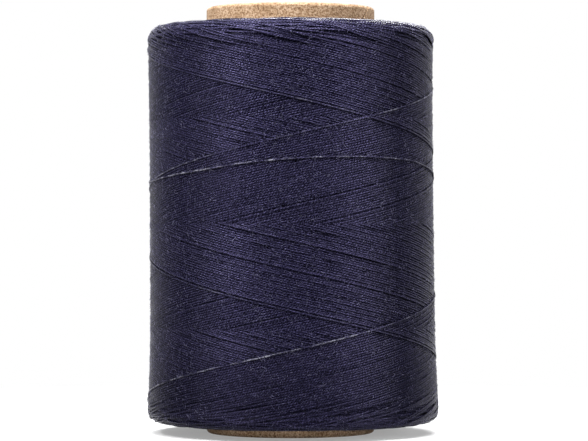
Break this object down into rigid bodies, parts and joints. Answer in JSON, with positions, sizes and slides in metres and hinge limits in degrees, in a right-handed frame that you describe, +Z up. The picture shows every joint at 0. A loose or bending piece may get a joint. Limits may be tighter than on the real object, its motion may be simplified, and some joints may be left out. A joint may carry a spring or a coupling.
{
  "type": "thread spool",
  "caption": "Flangeless spool of cross-wound dark blue sewing thread: a straight-sided, round-shouldered package on a paper tube that shows at both ends.",
  "frame": {"origin": "on the tube's axis, at the tube's lower rim", "axes": "+Z up along the tube; +X to the right and -Y towards the viewer, where the pictured side faces"},
  "size_m": [0.0474, 0.0474, 0.07],
  "materials": {
    "paper_liner": "matte",
    "paper_plies": "matte",
    "paper_wrap": "matte",
    "thread": "matte",
    "thread_outer": "matte"
  },
  "bodies": {
    "root": {"tube_inner_ply": "paper_liner", "tube_second_ply": "paper_plies", "tube_middle_ply": "paper_plies", "tube_fourth_ply": "paper_plies", "tube_outer_ply": "paper_wrap", "thread_package": "thread", "outer_winding": "thread_outer"}
  },
  "joints": []
}
